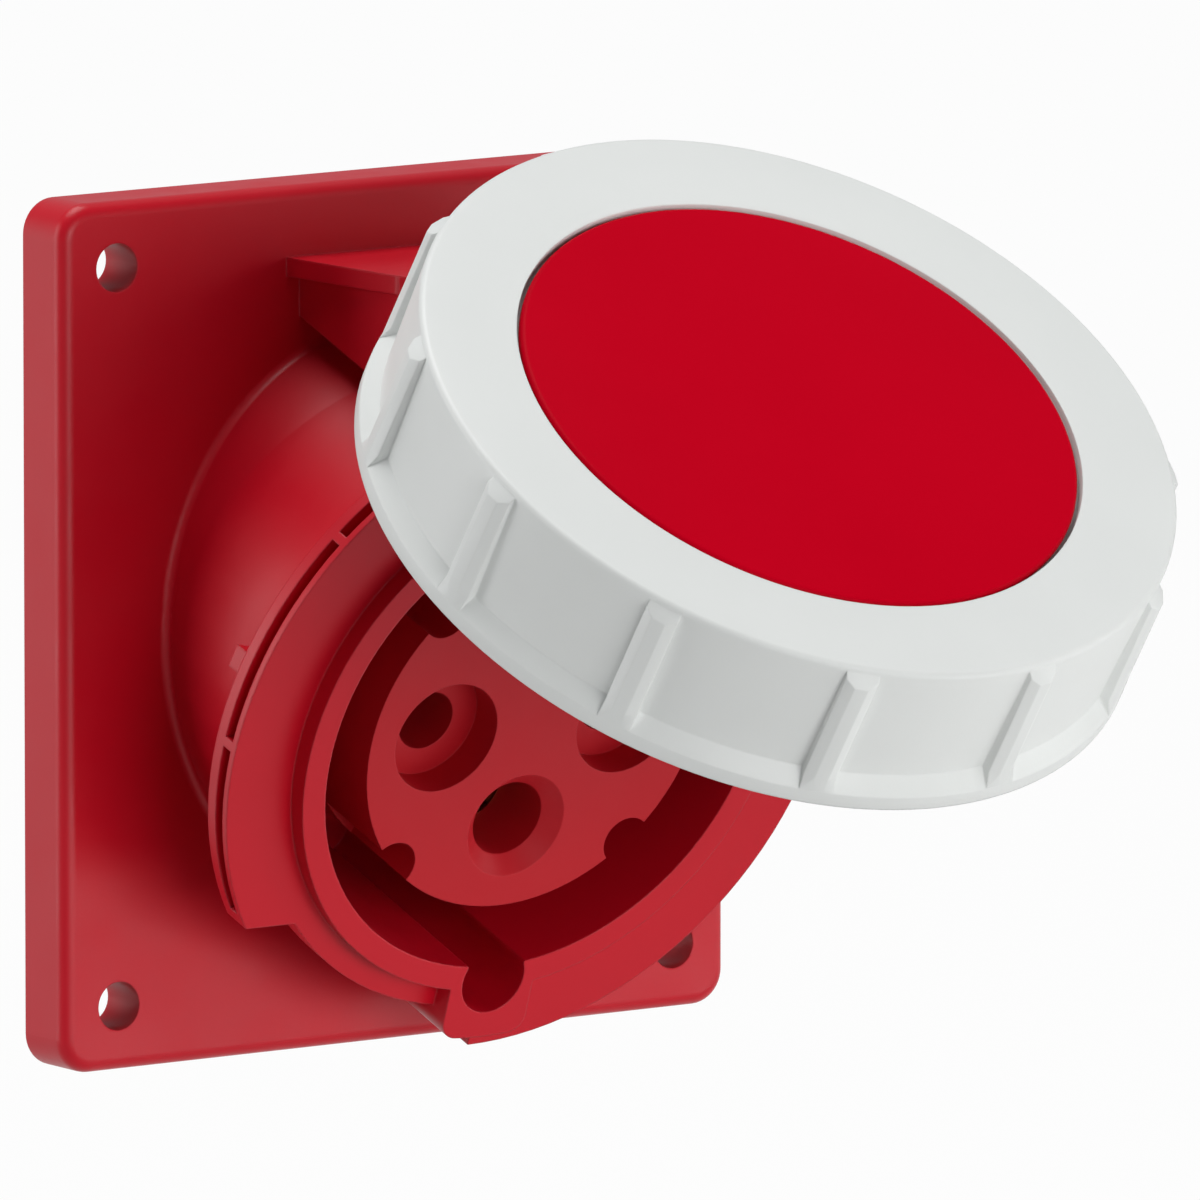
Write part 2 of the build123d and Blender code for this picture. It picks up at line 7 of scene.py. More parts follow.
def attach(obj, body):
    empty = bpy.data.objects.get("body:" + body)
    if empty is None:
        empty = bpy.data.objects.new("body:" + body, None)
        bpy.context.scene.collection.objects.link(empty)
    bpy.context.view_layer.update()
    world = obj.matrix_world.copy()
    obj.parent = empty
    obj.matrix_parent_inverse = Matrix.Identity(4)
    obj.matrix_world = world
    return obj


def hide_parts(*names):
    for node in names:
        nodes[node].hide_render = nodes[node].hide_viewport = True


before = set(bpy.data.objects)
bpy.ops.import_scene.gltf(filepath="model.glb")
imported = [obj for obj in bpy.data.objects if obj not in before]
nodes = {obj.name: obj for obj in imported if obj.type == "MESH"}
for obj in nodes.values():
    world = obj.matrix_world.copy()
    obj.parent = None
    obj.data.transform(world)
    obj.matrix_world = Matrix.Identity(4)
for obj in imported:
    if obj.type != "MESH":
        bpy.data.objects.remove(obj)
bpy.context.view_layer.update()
mm = 0.001
print("stage: frame loaded,", len(nodes), "nodes")

scene = bpy.context.scene
scene.view_settings.view_transform = "Standard"


def hexColour(text):
    # sRGB hex to the linear values that the shader wants
    out = []
    for i in (1, 3, 5):
        v = int(text[i:i + 2], 16) / 255
        out.append(v / 12.92 if v <= 0.04045 else ((v + 0.055) / 1.055) ** 2.4)
    return (*out, 1.0)


def deselectAll():
    if bpy.context.mode != "OBJECT":
        bpy.ops.object.mode_set(mode="OBJECT")
    bpy.ops.object.select_all(action="DESELECT")


def makeActive(obj):
    deselectAll()
    obj.select_set(True)
    bpy.context.view_layer.objects.active = obj


def applyModifiers(obj):
    makeActive(obj)
    for mod in list(obj.modifiers):
        bpy.ops.object.modifier_apply(modifier=mod.name)


def applyPlace():
    # the active piece keeps its place in its mesh and sits at the origin
    bpy.ops.object.transform_apply(location=True, rotation=True, scale=True)


def addNode(tree, kind, links=None, values=None, **settings):
    # one node with its settings, its socket values and the links into it
    node = tree.nodes.new(kind)
    for key, value in settings.items():
        setattr(node, key, value)
    for socket, value in (values or {}).items():
        node.inputs[socket].default_value = value
    for socket, source in (links or {}).items():
        tree.links.new(source, node.inputs[socket])
    return node


def startMaterial(name):
    mat = bpy.data.materials.new(name)
    mat.use_nodes = True
    tree = mat.node_tree
    tree.nodes.clear()
    return mat, tree


def mouldedPlastic(name, look):
    # Injection moulded plastic: an even skin copied from a spark-eroded tool, so a very
    # fine grain, a slow change of gloss where the melt cooled unevenly, and edges drawn a
    # little lighter than the faces in patches: partly rubbed by handling, partly a painted
    # highlight along the edges. The real grain is too fine to show, so it is drawn coarser.
    mat, tree = startMaterial(name)
    place = addNode(tree, "ShaderNodeTexCoord").outputs["Object"]
    soft = addNode(tree, "ShaderNodeBevel", samples=4, values={"Radius": look["edgeSoft"] * mm})
    face = addNode(tree, "ShaderNodeNewGeometry")
    turn = addNode(tree, "ShaderNodeVectorMath", operation="DOT_PRODUCT",
                   links={0: soft.outputs[0], 1: face.outputs["Normal"]})
    edge = addNode(tree, "ShaderNodeMapRange", links={"Value": turn.outputs["Value"]},
                   values={"From Min": 0.98, "From Max": 0.80, "To Min": 0.0, "To Max": 1.0})
    flow = addNode(tree, "ShaderNodeTexNoise", links={"Vector": place},
                   values={"Scale": 1 / (look["flowSize"] * mm), "Detail": 3.0, "Roughness": 0.55})
    patch = addNode(tree, "ShaderNodeTexNoise", links={"Vector": place},
                    values={"Scale": 1 / (look["patchSize"] * mm), "Detail": 4.0, "Roughness": 0.6})
    grain = addNode(tree, "ShaderNodeTexNoise", links={"Vector": place},
                    values={"Scale": 1 / (look["grainSize"] * mm), "Detail": 2.0, "Roughness": 0.6})
    tint = addNode(tree, "ShaderNodeMix", data_type="RGBA",
                   links={"Factor": flow.outputs["Fac"]})
    tint.inputs[6].default_value = hexColour(look["dark"])
    tint.inputs[7].default_value = hexColour(look["light"])
    # edges lighter in patches: partly rubbed wear, partly a painted highlight along the edges
    wornAndHighlitEdge = addNode(tree, "ShaderNodeMath", operation="MULTIPLY",
                   links={0: edge.outputs[0], 1: patch.outputs["Fac"]})
    wornAndHighlitShare = addNode(tree, "ShaderNodeMath", operation="MULTIPLY",
                       links={0: wornAndHighlitEdge.outputs[0]}, values={1: look["edgeWearAndHighlight"]})
    colour = addNode(tree, "ShaderNodeMix", data_type="RGBA",
                     links={"Factor": wornAndHighlitShare.outputs[0]})
    tree.links.new(tint.outputs[2], colour.inputs[6])
    colour.inputs[7].default_value = hexColour(look["rubbedAndHighlitEdge"])
    gloss = addNode(tree, "ShaderNodeMapRange", links={"Value": patch.outputs["Fac"]},
                    values={"From Min": 0.3, "From Max": 0.7,
                            "To Min": look["smooth"], "To Max": look["rough"]})
    rise = addNode(tree, "ShaderNodeBump",
                   links={"Height": grain.outputs["Fac"], "Normal": soft.outputs[0]},
                   values={"Strength": look["grainStrength"], "Distance": look["grainRise"] * mm})
    skin = addNode(tree, "ShaderNodeBsdfPrincipled",
                   links={"Base Color": colour.outputs[2], "Roughness": gloss.outputs[0],
                          "Normal": rise.outputs[0]},
                   values={"IOR": look["ior"], "Specular IOR Level": look["shine"],
                           "Subsurface Weight": look["seep"],
                           "Subsurface Scale": look["seepDepth"] * mm,
                           "Subsurface Radius": (1.0, 1.0, 1.0)})
    addNode(tree, "ShaderNodeOutputMaterial", links={"Surface": skin.outputs[0]})
    return mat


# In each look the rubbed colour is the lighter edge colour: partly wear, partly painted edge
# highlight
# Polyamide 6 shell, signal red: satin, with a faint grain
shellLook = dict(dark="#B4041A", light="#BD071F", rubbedAndHighlitEdge="#CE4C54", ior=1.53, shine=0.24,
                 smooth=0.33, rough=0.43, edgeSoft=0.34, edgeWearAndHighlight=0.4, flowSize=26.0,
                 patchSize=9.0, grainSize=0.35, grainStrength=0.25, grainRise=0.03,
                 seep=0.0, seepDepth=1.0)
# Glass-filled polyamide of the carrier: drier, and its red set darker as painted shade from the
# shroud
carrierShadedLook = dict(shellLook, dark="#AC0A18", light="#B40D1C", rubbedAndHighlitEdge="#D4474C",
                   smooth=0.44, rough=0.54, edgeSoft=0.2, patchSize=6.0, grainStrength=0.35)
# ABS disc, bright red: finer tool finish, so a smoother gloss
discLook = dict(shellLook, dark="#B40019", light="#BC011C", rubbedAndHighlitEdge="#DE4A54", shine=0.01,
                smooth=0.30, rough=0.38, edgeSoft=0.15, grainStrength=0.15)
# Glass filled PBT ring, pale grey: even and slightly waxy, light seeps into its thin edges
ringLook = dict(dark="#D4D6D4", light="#DBDDDB", rubbedAndHighlitEdge="#F2F3F1", ior=1.55, shine=0.3,
                smooth=0.34, rough=0.44, edgeSoft=0.3, edgeWearAndHighlight=0.3, flowSize=30.0,
                patchSize=10.0, grainSize=0.35, grainStrength=0.2, grainRise=0.03,
                seep=0.06, seepDepth=1.0)
# Dark grey polyamide of the terminal half
terminalLook = dict(ringLook, seep=0.0, dark="#43464A", light="#4B4E52", rubbedAndHighlitEdge="#6A6D70",
                    smooth=0.46, rough=0.58, edgeSoft=0.15)
# EPDM rubber of gasket, ring and seal: dull, with a dusty bloom
rubberLook = dict(ringLook, seep=0.0, dark="#191A1B", light="#222324", rubbedAndHighlitEdge="#303132",
                  smooth=0.62, rough=0.78, edgeSoft=0.15, grainStrength=0.4)

shellRed = mouldedPlastic("mouldedPolyamideSignalRed", shellLook)
# the carrier's darker red is painted shade from the shroud
carrierShadedRed = mouldedPlastic("mouldedGlassFilledPolyamideShadedRed", carrierShadedLook)
discRed = mouldedPlastic("mouldedAbsBrightRed", discLook)
ringGrey = mouldedPlastic("mouldedPbtPaleGrey", ringLook)
terminalGrey = mouldedPlastic("mouldedPolyamideDarkGrey", terminalLook)
blackRubber = mouldedPlastic("mouldedEpdmBlack", rubberLook)


def workedMetal(name, look):
    # Bare or plated metal from a lathe or press: parallel tool lines that catch the light
    # and a slow tarnish that dulls some places. The lines are drawn coarser than real ones,
    # so that they show.
    mat, tree = startMaterial(name)
    place = addNode(tree, "ShaderNodeTexCoord").outputs["Object"]
    soft = addNode(tree, "ShaderNodeBevel", samples=4, values={"Radius": look["edgeSoft"] * mm})
    along = addNode(tree, "ShaderNodeMapping", links={"Vector": place},
                    values={"Rotation": (math.radians(look["leanDeg"]), 0, 0)})
    lines = addNode(tree, "ShaderNodeTexWave", links={"Vector": along.outputs[0]},
                    wave_type="BANDS", bands_direction="Z",
                    values={"Scale": math.pi / 10 / (look["linePitch"] * mm),
                            "Distortion": 1.5, "Detail": 2.0, "Detail Scale": 2.0})
    tarnish = addNode(tree, "ShaderNodeTexNoise", links={"Vector": place},
                      values={"Scale": 1 / (look["tarnishSize"] * mm), "Detail": 5.0})
    colour = addNode(tree, "ShaderNodeMix", data_type="RGBA",
                     links={"Factor": tarnish.outputs["Fac"]})
    colour.inputs[6].default_value = hexColour(look["bright"])
    colour.inputs[7].default_value = hexColour(look["dull"])
    gloss = addNode(tree, "ShaderNodeMapRange", links={"Value": tarnish.outputs["Fac"]},
                    values={"From Min": 0.3, "From Max": 0.7,
                            "To Min": look["smooth"], "To Max": look["rough"]})
    rise = addNode(tree, "ShaderNodeBump",
                   links={"Height": lines.outputs["Fac"], "Normal": soft.outputs[0]},
                   values={"Strength": 0.3, "Distance": look["lineRise"] * mm})
    skin = addNode(tree, "ShaderNodeBsdfPrincipled",
                   links={"Base Color": colour.outputs[2], "Roughness": gloss.outputs[0],
                          "Normal": rise.outputs[0]}, values={"Metallic": 1.0})
    addNode(tree, "ShaderNodeOutputMaterial", links={"Surface": skin.outputs[0]})
    return mat


# Turned brass contacts, lines across the socket axis
brassLook = dict(bright="#E2C27E", dull="#B8944F", leanDeg=-110.0, linePitch=1.57,
                 lineRise=0.01, tarnishSize=5.0, smooth=0.22, rough=0.38, edgeSoft=0.1)
# Zinc plated steel of screws, bands, pads and pin: cooler, finer lines
zincLook = dict(brassLook, bright="#C9CCD0", dull="#9FA3A8", linePitch=1.257,
                tarnishSize=3.0, smooth=0.24, rough=0.42)

turnedBrass = workedMetal("turnedBrass", brassLook)
zincSteel = workedMetal("zincPlatedSteel", zincLook)
print("stage: materials made")

# what each CAD node is made of
finishes = {
    "housing": shellRed, "contact_carrier": carrierShadedRed, "lid_disc": discRed,
    "locking_ring": ringGrey, "lid_cap": ringGrey, "lid_seal": blackRubber,
    "flange_gasket": blackRubber, "carrier_gasket": blackRubber,
    "terminal_block": terminalGrey, "hinge_pin": zincSteel, "carrier_screws": zincSteel,
    "phase_spring_bands": zincSteel, "earth_spring_band": zincSteel,
    "phase_terminal_screws": zincSteel, "earth_terminal_screw": zincSteel,
    "phase_wire_pads": zincSteel, "earth_wire_pad": zincSteel,
    "phase_sleeve_1": turnedBrass, "phase_sleeve_2": turnedBrass,
    "phase_sleeve_3": turnedBrass, "earth_sleeve": turnedBrass,
}
for name, finish in finishes.items():
    for slot in nodes[name].material_slots:
        slot.material = finish
print("stage: CAD nodes finished")


# The lid stands open in the frame: its pieces are modelled lying flat, with the face of the
# ring at zero, and then set in its place
lidPlace = dict(centre=(0, -0.088308, 0.033143), leanDeg=35.25)


def settle(obj, place):
    makeActive(obj)
    obj.matrix_world = place
    applyPlace()


def setInLid(obj):
    settle(obj, Matrix.Translation(lidPlace["centre"])
           @ Matrix.Rotation(math.radians(lidPlace["leanDeg"]), 4, "X"))


def coat(obj, finish):
    obj.data.materials.clear()
    obj.data.materials.append(finish)


def addOutline(name, points, turnDeg=0.0):
    # closed outline in a plane through the axis, from (radius, height) points in mm
    deselectAll()
    bpy.ops.mesh.primitive_circle_add(vertices=len(points), radius=mm)
    obj = bpy.context.active_object
    obj.name = name
    c, s = math.cos(math.radians(turnDeg)), math.sin(math.radians(turnDeg))
    for vert, (r, z) in zip(obj.data.vertices, points):
        vert.co = (r * c * mm, r * s * mm, z * mm)
    return obj


def spinOn(degrees, steps):
    # a spin about +Z runs clockwise, so -Z is given to turn counterclockwise
    bpy.ops.mesh.spin(steps=steps, angle=math.radians(degrees), center=(0, 0, 0), axis=(0, 0, -1))


def editAll(obj):
    # edit mode with all of the mesh selected
    makeActive(obj)
    bpy.ops.object.mode_set(mode="EDIT")
    bpy.ops.mesh.select_all(action="SELECT")


def cleanMesh(obj, reach=0.004):
    editAll(obj)
    bpy.ops.mesh.remove_doubles(threshold=reach * mm)
    bpy.ops.mesh.normals_make_consistent(inside=False)
    bpy.ops.object.mode_set(mode="OBJECT")


def twinOf(obj):
    # a copy with its own mesh
    twin = obj.copy()
    twin.data = obj.data.copy()
    scene.collection.objects.link(twin)
    return twin


def copyAround(obj, count, stepDeg):
    # the piece and its copies, each turned on about the axis
    made = [obj]
    for i in range(1, count):
        twin = twinOf(obj)
        twin.data.transform(Matrix.Rotation(math.radians(i * stepDeg), 4, "Z"))
        made.append(twin)
    return made


def joinAll(objects):
    deselectAll()
    for obj in objects:
        obj.select_set(True)
    bpy.context.view_layer.objects.active = objects[0]
    bpy.ops.object.join()
    return objects[0]


def shadeSmooth(obj, deg):
    makeActive(obj)
    bpy.ops.object.shade_smooth_by_angle(angle=math.radians(deg))


def softenEdges(obj, width, segments=3, limitDeg=32.0, smoothDeg=38.0):
    mod = obj.modifiers.new("softEdges", "BEVEL")
    mod.limit_method, mod.angle_limit = "ANGLE", math.radians(limitDeg)
    mod.width, mod.segments = width * mm, segments
    mod.use_clamp_overlap = True
    applyModifiers(obj)
    shadeSmooth(obj, smoothDeg)


def cutAway(obj, cutter):
    # takes the cutter's space out of the piece, and the cutter out of the scene
    cut = obj.modifiers.new("cutAway", "BOOLEAN")
    cut.operation, cut.object, cut.solver = "DIFFERENCE", cutter, "EXACT"
    applyModifiers(obj)
    bpy.data.objects.remove(cutter, do_unlink=True)


def addPuck(name, sides, radius, thick):
    # a short cylinder that lies flat, with its top at zero
    deselectAll()
    bpy.ops.mesh.primitive_cylinder_add(vertices=sides, radius=radius * mm, depth=thick * mm,
                                        location=(0, 0, -thick / 2 * mm))
    puck = bpy.context.active_object
    puck.name = name
    applyPlace()
    return puck


# Bayonet locking ring: wall, flared lip and twelve grip ribs, two lugs inside
ring = dict(holeR=33.6, faceR=45.0, edgeR=0.7, edgeSteps=4, wallLowR=44.45, slopeTop=-15.5,
            lipTop=-17.3, bottom=-19.1, outerR=46.3, boreR=42.3, under=-3.2, stepR=31.4,
            stepTop=-1.7, ribCount=12, ribPhase=10.0, ribHalfDeg=2.5, ribBevel=0.7,
            ribCrown=0.42, ribSteps=2, gapSteps=6, softEdge=0.14)
lug = dict(innerR=37.4, rootR=42.9, top=-14.8, bottom=-19.1, nose=0.8, startDeg=221.5,
           sweepDeg=30.0, steps=12, softEdge=0.25)
nudge = 0.01    # an extrusion's first small step, before its corners are placed


def ringOutline():
    r, e = ring["faceR"], ring["edgeR"]
    points = [(ring["holeR"], 0.0)]
    for i in range(ring["edgeSteps"] + 1):
        a = math.radians(90 - 90 * i / ring["edgeSteps"])
        points.append((r - e + e * math.cos(a), -e + e * math.sin(a)))
    return points + [(ring["wallLowR"], ring["slopeTop"]), (ring["outerR"], ring["lipTop"]),
                     (ring["outerR"], ring["bottom"]), (ring["boreR"], ring["bottom"]),
                     (ring["boreR"], ring["under"]), (ring["stepR"], ring["under"]),
                     (ring["stepR"], ring["stepTop"]), (ring["holeR"], ring["stepTop"])]


def raiseRib():
    # pulls the middle column of the wall out to the lip's radius, under a sloping top: first
    # straight out, and then narrower over the last of it, which bevels the rib's two sides
    mesh = bmesh.from_edit_mesh(bpy.context.active_object.data)
    middle = math.radians(ring["ribPhase"])
    out = Vector((math.cos(middle), math.sin(middle), 0))
    for face in mesh.faces:
        spot = face.calc_center_median()
        offAxis = abs(math.degrees(math.atan2(spot.y, spot.x)) - ring["ribPhase"])
        facesOut = face.normal.to_2d().length > 0.4
        onOutside = spot.to_2d().length > (ring["boreR"] + 1) * mm
        onWall = ring["lipTop"] * mm < spot.z < -ring["edgeR"] * mm
        face.select_set(offAxis < ring["ribHalfDeg"] and facesOut and onOutside and onWall)
    bmesh.update_edit_mesh(bpy.context.active_object.data)
    across = Vector((-out.y, out.x, 0))
    reach, top = ring["faceR"], -ring["edgeR"]
    straight = (ring["outerR"] - ring["ribBevel"], 1.0)
    bevelled = (ring["outerR"], ring["ribCrown"])
    for stop, width in (straight, bevelled):
        bpy.ops.mesh.extrude_region_move(TRANSFORM_OT_translate={"value": out * nudge * mm})
        for vert in bmesh.from_edit_mesh(bpy.context.active_object.data).verts:
            if vert.select:
                isTop = vert.co.z > (top - nudge) * mm
                far = max(vert.co.to_2d().length - 2 * nudge * mm, stop * mm)
                side = vert.co.dot(across) * width
                place = out * math.sqrt(far ** 2 - side ** 2) + across * side
                vert.co = (place.x, place.y, vert.co.z - ((stop - reach) * mm if isTop else 0))
        bmesh.update_edit_mesh(bpy.context.active_object.data)
        reach, top = stop, top - (stop - reach)


def buildLug():
    points = [(lug["innerR"], lug["bottom"]), (lug["rootR"], lug["bottom"]),
              (lug["rootR"], lug["top"]), (lug["innerR"] + lug["nose"], lug["top"]),
              (lug["innerR"], lug["top"] - lug["nose"])]
    hook = addOutline("lockingLug", points, lug["startDeg"])
    editAll(hook)
    bpy.ops.mesh.edge_face_add()
    spinOn(lug["sweepDeg"], lug["steps"])
    bpy.ops.object.mode_set(mode="OBJECT")
    cleanMesh(hook)
    softenEdges(hook, lug["softEdge"])
    return hook


def buildRing():
    step = 360 / ring["ribCount"]
    gap = step / 2 - ring["ribHalfDeg"]
    sector = addOutline("lockingRing", ringOutline(), ring["ribPhase"] - step / 2)
    editAll(sector)
    spinOn(gap, ring["gapSteps"])
    spinOn(2 * ring["ribHalfDeg"], ring["ribSteps"])
    spinOn(gap, ring["gapSteps"])
    bpy.ops.object.mode_set(mode="OBJECT")
    cleanMesh(sector)
    bpy.ops.object.mode_set(mode="EDIT")
    bpy.ops.mesh.select_mode(type="FACE")
    bpy.ops.mesh.select_all(action="DESELECT")
    raiseRib()
    bpy.ops.object.mode_set(mode="OBJECT")
    body = joinAll(copyAround(sector, ring["ribCount"], step))
    cleanMesh(body)
    softenEdges(body, ring["softEdge"], limitDeg=24.0, smoothDeg=25.0)
    body = joinAll([body] + copyAround(buildLug(), 2, 180.0))
    setInLid(body)
    coat(body, ringGrey)
    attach(body, "ring")
    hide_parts("locking_ring")


# Disc in the middle of the lid: flat, with a rounded edge
disc = dict(radius=33.1, thick=1.5, sides=180, crown=0.6)


def buildDisc():
    plate = addPuck("lidDisc", disc["sides"], disc["radius"], disc["thick"])
    softenEdges(plate, disc["crown"], segments=4)
    setInLid(plate)
    coat(plate, discRed)
    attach(plate, "lid")
    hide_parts("lid_disc")


buildRing()
buildDisc()
print("stage: lid pieces built")


# Screws at the rear: M4 clamp screws that point at each contact, and the four with pan heads
# that hold both halves. Modelled standing up, tip down, with the head's top at zero. The
# thread's flank and crestFlat are shares of its pitch
clampScrew = dict(headR=3.2, headT=2.2, crown=0.35, slotW=0.9, slotDeep=1.1, softEdge=0.08,
                  crestR=2.0, rootR=1.64, pitch=0.7, flank=0.40, crestFlat=0.15, turns=5,
                  length=4.02, sides=40, windSteps=24, weld=0.002)
bodyScrew = dict(clampScrew, headR=2.8, headT=2.0, crown=0.7, slotDeep=1.0,
                 crestR=1.4, rootR=1.05, pitch=1.1, turns=13, length=14.9)


def buildScrew(name, size):
    head = addPuck(name, size["sides"], size["headR"], size["headT"])
    bpy.ops.object.mode_set(mode="EDIT")
    bpy.ops.mesh.select_mode(type="FACE")
    bpy.ops.mesh.select_all(action="DESELECT")
    mesh = bmesh.from_edit_mesh(head.data)
    for face in mesh.faces:
        face.select_set(face.normal.z > 0.9)
    bmesh.update_edit_mesh(head.data)
    bpy.ops.mesh.bevel(offset=size["crown"] * mm, segments=4, affect="EDGES")
    bpy.ops.object.mode_set(mode="OBJECT")
    deselectAll()
    bpy.ops.mesh.primitive_cube_add(size=1, location=(0, 0, 0),
                                    scale=(3 * size["headR"] * mm, size["slotW"] * mm,
                                           2 * size["slotDeep"] * mm))
    slotBar = bpy.context.active_object
    applyPlace()
    cutAway(head, slotBar)
    softenEdges(head, size["softEdge"], segments=2, limitDeg=50.0)
    return joinAll([head, buildThread(size)])


def buildThread(size):
    # one tooth on edge, wound up from the tip by the screw modifier, then closed at both ends
    crest, root, pitch = size["crestR"], size["rootR"], size["pitch"]
    low = -size["headT"] - size["length"]
    topStart, topEnd = size["flank"], size["flank"] + size["crestFlat"]
    tooth = [(root, low), (crest, low + topStart * pitch), (crest, low + topEnd * pitch),
             (root, low + (topEnd + size["flank"]) * pitch), (root, low + pitch)]
    deselectAll()
    bpy.ops.mesh.primitive_circle_add(vertices=len(tooth), radius=mm)
    thread = bpy.context.active_object
    for vert, (r, z) in zip(thread.data.vertices, tooth):
        vert.co = (r * mm, 0, z * mm)
    bpy.ops.object.mode_set(mode="EDIT")
    bpy.ops.mesh.select_mode(type="EDGE")
    bpy.ops.mesh.select_all(action="DESELECT")
    mesh = bmesh.from_edit_mesh(thread.data)
    for edge in mesh.edges:
        ends = sorted(v.index for v in edge.verts)
        edge.select_set(ends == [0, len(tooth) - 1])
    bmesh.update_edit_mesh(thread.data)
    bpy.ops.mesh.delete(type="EDGE_FACE")
    bpy.ops.object.mode_set(mode="OBJECT")
    wind = thread.modifiers.new("wind", "SCREW")
    wind.axis, wind.steps, wind.render_steps = "Z", size["windSteps"], size["windSteps"]
    wind.screw_offset, wind.iterations = pitch * mm, size["turns"]
    wind.use_merge_vertices, wind.merge_threshold = True, size["weld"] * mm
    applyModifiers(thread)
    editAll(thread)
    bpy.ops.mesh.fill_holes(sides=0)
    bpy.ops.object.mode_set(mode="OBJECT")
    cleanMesh(thread)
    shadeSmooth(thread, deg=30)
    return thread


# The socket's own axis leans 20 degrees down, and contact angles are counted from +X about it
socketPlace = dict(origin=(0, -0.008, 0), turnDeg=110.0, clampOut=20.8, clampBack=-31.65,
                   bodyOut=25.6, bodyBack=-24.9)


def placeScrews(master, name, node, places):
    socket = (Matrix.Translation(socketPlace["origin"])
              @ Matrix.Rotation(math.radians(socketPlace["turnDeg"]), 4, "X"))
    made = [twinOf(master) for place in places]
    for twin, place in zip(made, places):
        settle(twin, socket @ place)
    piece = joinAll(made)
    piece.name = name
    coat(piece, zincSteel)
    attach(piece, "base")
    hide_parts(node)


def clampAt(deg):
    # head outwards at a contact's angle
    return (Matrix.Rotation(math.radians(deg), 4, "Z")
            @ Matrix.Translation((socketPlace["clampOut"] * mm, 0, socketPlace["clampBack"] * mm))
            @ Matrix.Rotation(math.radians(90), 4, "Y"))


def bodyAt(deg):
    # head to the rear, on the circle around the contacts
    turn, out = math.radians(deg), socketPlace["bodyOut"] * mm
    spot = (out * math.cos(turn), out * math.sin(turn), socketPlace["bodyBack"] * mm)
    return Matrix.Translation(spot) @ Matrix.Rotation(math.radians(180), 4, "X")


master = buildScrew("clampScrew", clampScrew)
placeScrews(master, "phaseClampScrews", "phase_terminal_screws", [clampAt(a) for a in (0, 90, 180)])
placeScrews(master, "earthClampScrew", "earth_terminal_screw", [clampAt(270)])
bpy.data.objects.remove(master, do_unlink=True)
master = buildScrew("bodyScrew", bodyScrew)
placeScrews(master, "bodyScrews", "carrier_screws", [bodyAt(a) for a in (45, 135, 225, 315)])
bpy.data.objects.remove(master, do_unlink=True)
print("stage: screws built")


# Rear gasket: the rubber is punched wider than the flange's screw holes, so that none of it
# shows in them
gasket = dict(holeR=3.9, pitchX=77.0, pitchZ=85.0, sides=48, depth=12.0, weld=0.002)


def buildGasket():
    deselectAll()
    sheet = twinOf(nodes["flange_gasket"])
    sheet.name = "flangeGasket"
    place = sheet.matrix_world.copy()
    sheet.parent = None
    settle(sheet, place)
    cleanMesh(sheet, gasket["weld"])
    punches = []
    for x in (-gasket["pitchX"] / 2, gasket["pitchX"] / 2):
        for z in (-gasket["pitchZ"] / 2, gasket["pitchZ"] / 2):
            deselectAll()
            bpy.ops.mesh.primitive_cylinder_add(vertices=gasket["sides"],
                                                radius=gasket["holeR"] * mm,
                                                depth=gasket["depth"] * mm,
                                                location=(x * mm, 0, z * mm),
                                                rotation=(math.radians(90), 0, 0))
            punches.append(bpy.context.active_object)
    cutAway(sheet, joinAll(punches))
    shadeSmooth(sheet, deg=35)
    coat(sheet, blackRubber)
    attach(sheet, "base")
    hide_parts("flange_gasket")


buildGasket()
print("stage: gasket punched")


# Camera as the photograph has it: a long lens a little above and to the left
cameraView = dict(azimuth=-34.652, elevation=8.489, distance=2.981, lens=778.14,
                  aim=(0.022838, -0.015770, 0.000084), sensor=36.0, clipNear=0.05, clipFar=40.0)


def placeCamera():
    a, e = (math.radians(cameraView[k]) for k in ("azimuth", "elevation"))
    back = Vector((math.sin(a) * math.cos(e), -math.cos(a) * math.cos(e), math.sin(e)))
    data = bpy.data.cameras.new("photoCamera")
    data.lens, data.sensor_width = cameraView["lens"], cameraView["sensor"]
    data.clip_start, data.clip_end = cameraView["clipNear"], cameraView["clipFar"]
    cam = bpy.data.objects.new("photoCamera", data)
    scene.collection.objects.link(cam)
    cam.location = Vector(cameraView["aim"]) + back * cameraView["distance"]
    cam.rotation_mode = "QUATERNION"
    cam.rotation_quaternion = (-back).to_track_quat("-Z", "Y")
    scene.camera = cam


placeCamera()


# Studio: a wide floor well below the part, which belongs on a wall. The lamps light grey
# paper; the camera and reflections see it nearly white, with a little of the part's shadow.
# The pale room is dim, but reflections see it brighter
studio = dict(floorLevel=-0.22, floorSize=60.0, floorTone="#B8B8B8", floorShown=0.97,
              roomTone="#E8ECF0", roomLevel=0.15, roomSheen=0.48)


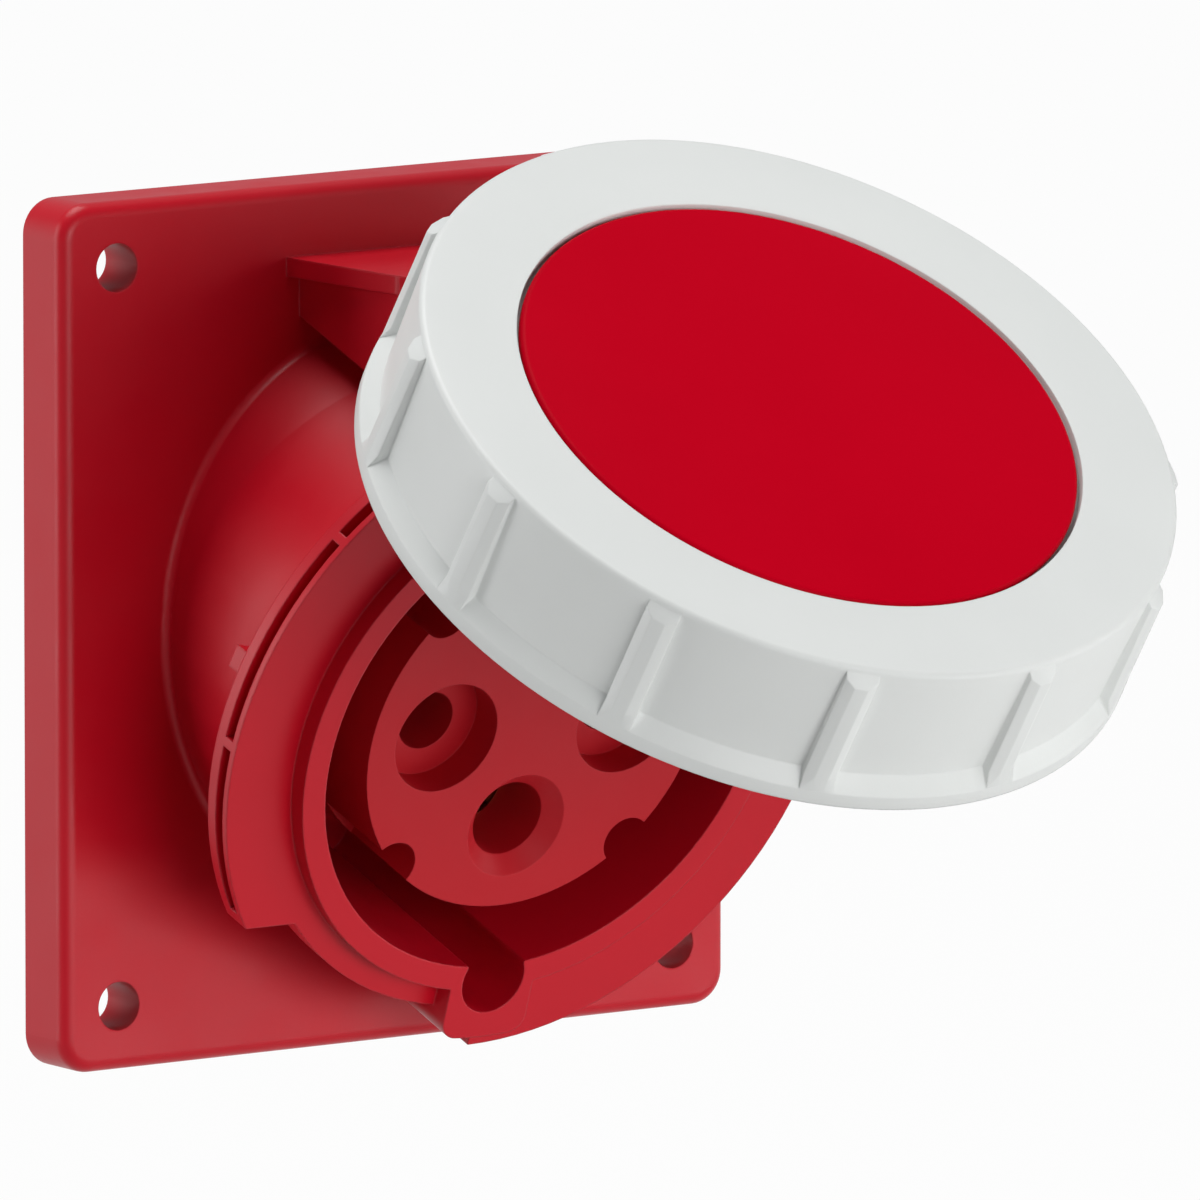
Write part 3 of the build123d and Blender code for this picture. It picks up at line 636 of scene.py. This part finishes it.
def buildFloor():
    deselectAll()
    bpy.ops.mesh.primitive_plane_add(size=studio["floorSize"],
                                     location=(0, 0, studio["floorLevel"]))
    floor = bpy.context.active_object
    floor.name = "studioFloor"
    applyPlace()
    mat, tree = startMaterial("mattBackdropPaper")
    ray = addNode(tree, "ShaderNodeLightPath")
    direct = addNode(tree, "ShaderNodeMath", operation="MAXIMUM",
                     links={0: ray.outputs["Is Camera Ray"], 1: ray.outputs["Is Glossy Ray"]})
    anyRay = addNode(tree, "ShaderNodeMath", operation="MAXIMUM",
                     links={0: direct.outputs[0], 1: ray.outputs["Is Transmission Ray"]})
    share = addNode(tree, "ShaderNodeMath", operation="MULTIPLY",
                    links={0: anyRay.outputs[0]}, values={1: studio["floorShown"]})
    paper = addNode(tree, "ShaderNodeBsdfDiffuse",
                    values={"Color": hexColour(studio["floorTone"]), "Roughness": 0.6})
    white = addNode(tree, "ShaderNodeEmission", values={"Color": (1, 1, 1, 1), "Strength": 1.0})
    both = addNode(tree, "ShaderNodeMixShader",
                   links={0: share.outputs[0], 1: paper.outputs[0], 2: white.outputs[0]})
    addNode(tree, "ShaderNodeOutputMaterial", links={"Surface": both.outputs[0]})
    floor.data.materials.append(mat)


def buildWorld():
    world = bpy.data.worlds.new("paleRoom")
    scene.world = world
    world.use_nodes = True
    tree = world.node_tree
    tree.nodes.clear()
    ray = addNode(tree, "ShaderNodeLightPath")
    sheen = addNode(tree, "ShaderNodeMapRange", links={"Value": ray.outputs["Is Glossy Ray"]},
                    values={"To Min": studio["roomLevel"], "To Max": studio["roomSheen"]})
    room = addNode(tree, "ShaderNodeBackground", links={"Strength": sheen.outputs[0]},
                   values={"Color": hexColour(studio["roomTone"])})
    addNode(tree, "ShaderNodeOutputWorld", links={"Surface": room.outputs[0]})


# name: place, point aimed at, width, height, watts, strength of its highlights
lamps = {
    "topSoftbox": ((-0.05, 0.10, 1.0), (0, -0.05, 0), 0.7, 0.7, 8.8, 1.0),
    "leftSoftbox": ((-0.9, 0.55, 0.15), (0, -0.05, 0), 0.6, 0.9, 6.6, 0.6),
    "rightFill": ((1.0, -0.6, 0.05), (0, -0.05, 0), 0.6, 0.8, 3.9, 1.0),
    "frontFill": ((-0.15, -1.5, 0.1), (0, -0.08, 0), 1.0, 0.6, 11.0, 1.0),
    "lowCard": ((0.22, -0.46, -0.19), (0, -0.05, -0.02), 0.45, 0.16, 0.75, 1.0),
}


def buildLamps():
    for name, (place, aim, width, height, watts, sheen) in lamps.items():
        data = bpy.data.lights.new(name, "AREA")
        data.shape, data.size, data.size_y, data.energy = "RECTANGLE", width, height, watts
        data.specular_factor = sheen
        lamp = bpy.data.objects.new(name, data)
        scene.collection.objects.link(lamp)
        lamp.location = place
        lamp.rotation_mode = "QUATERNION"
        lamp.rotation_quaternion = (Vector(aim) - Vector(place)).to_track_quat("-Z", "Y")
        lamp.visible_camera = False


buildFloor()
buildWorld()
buildLamps()
print("stage: studio and camera set")
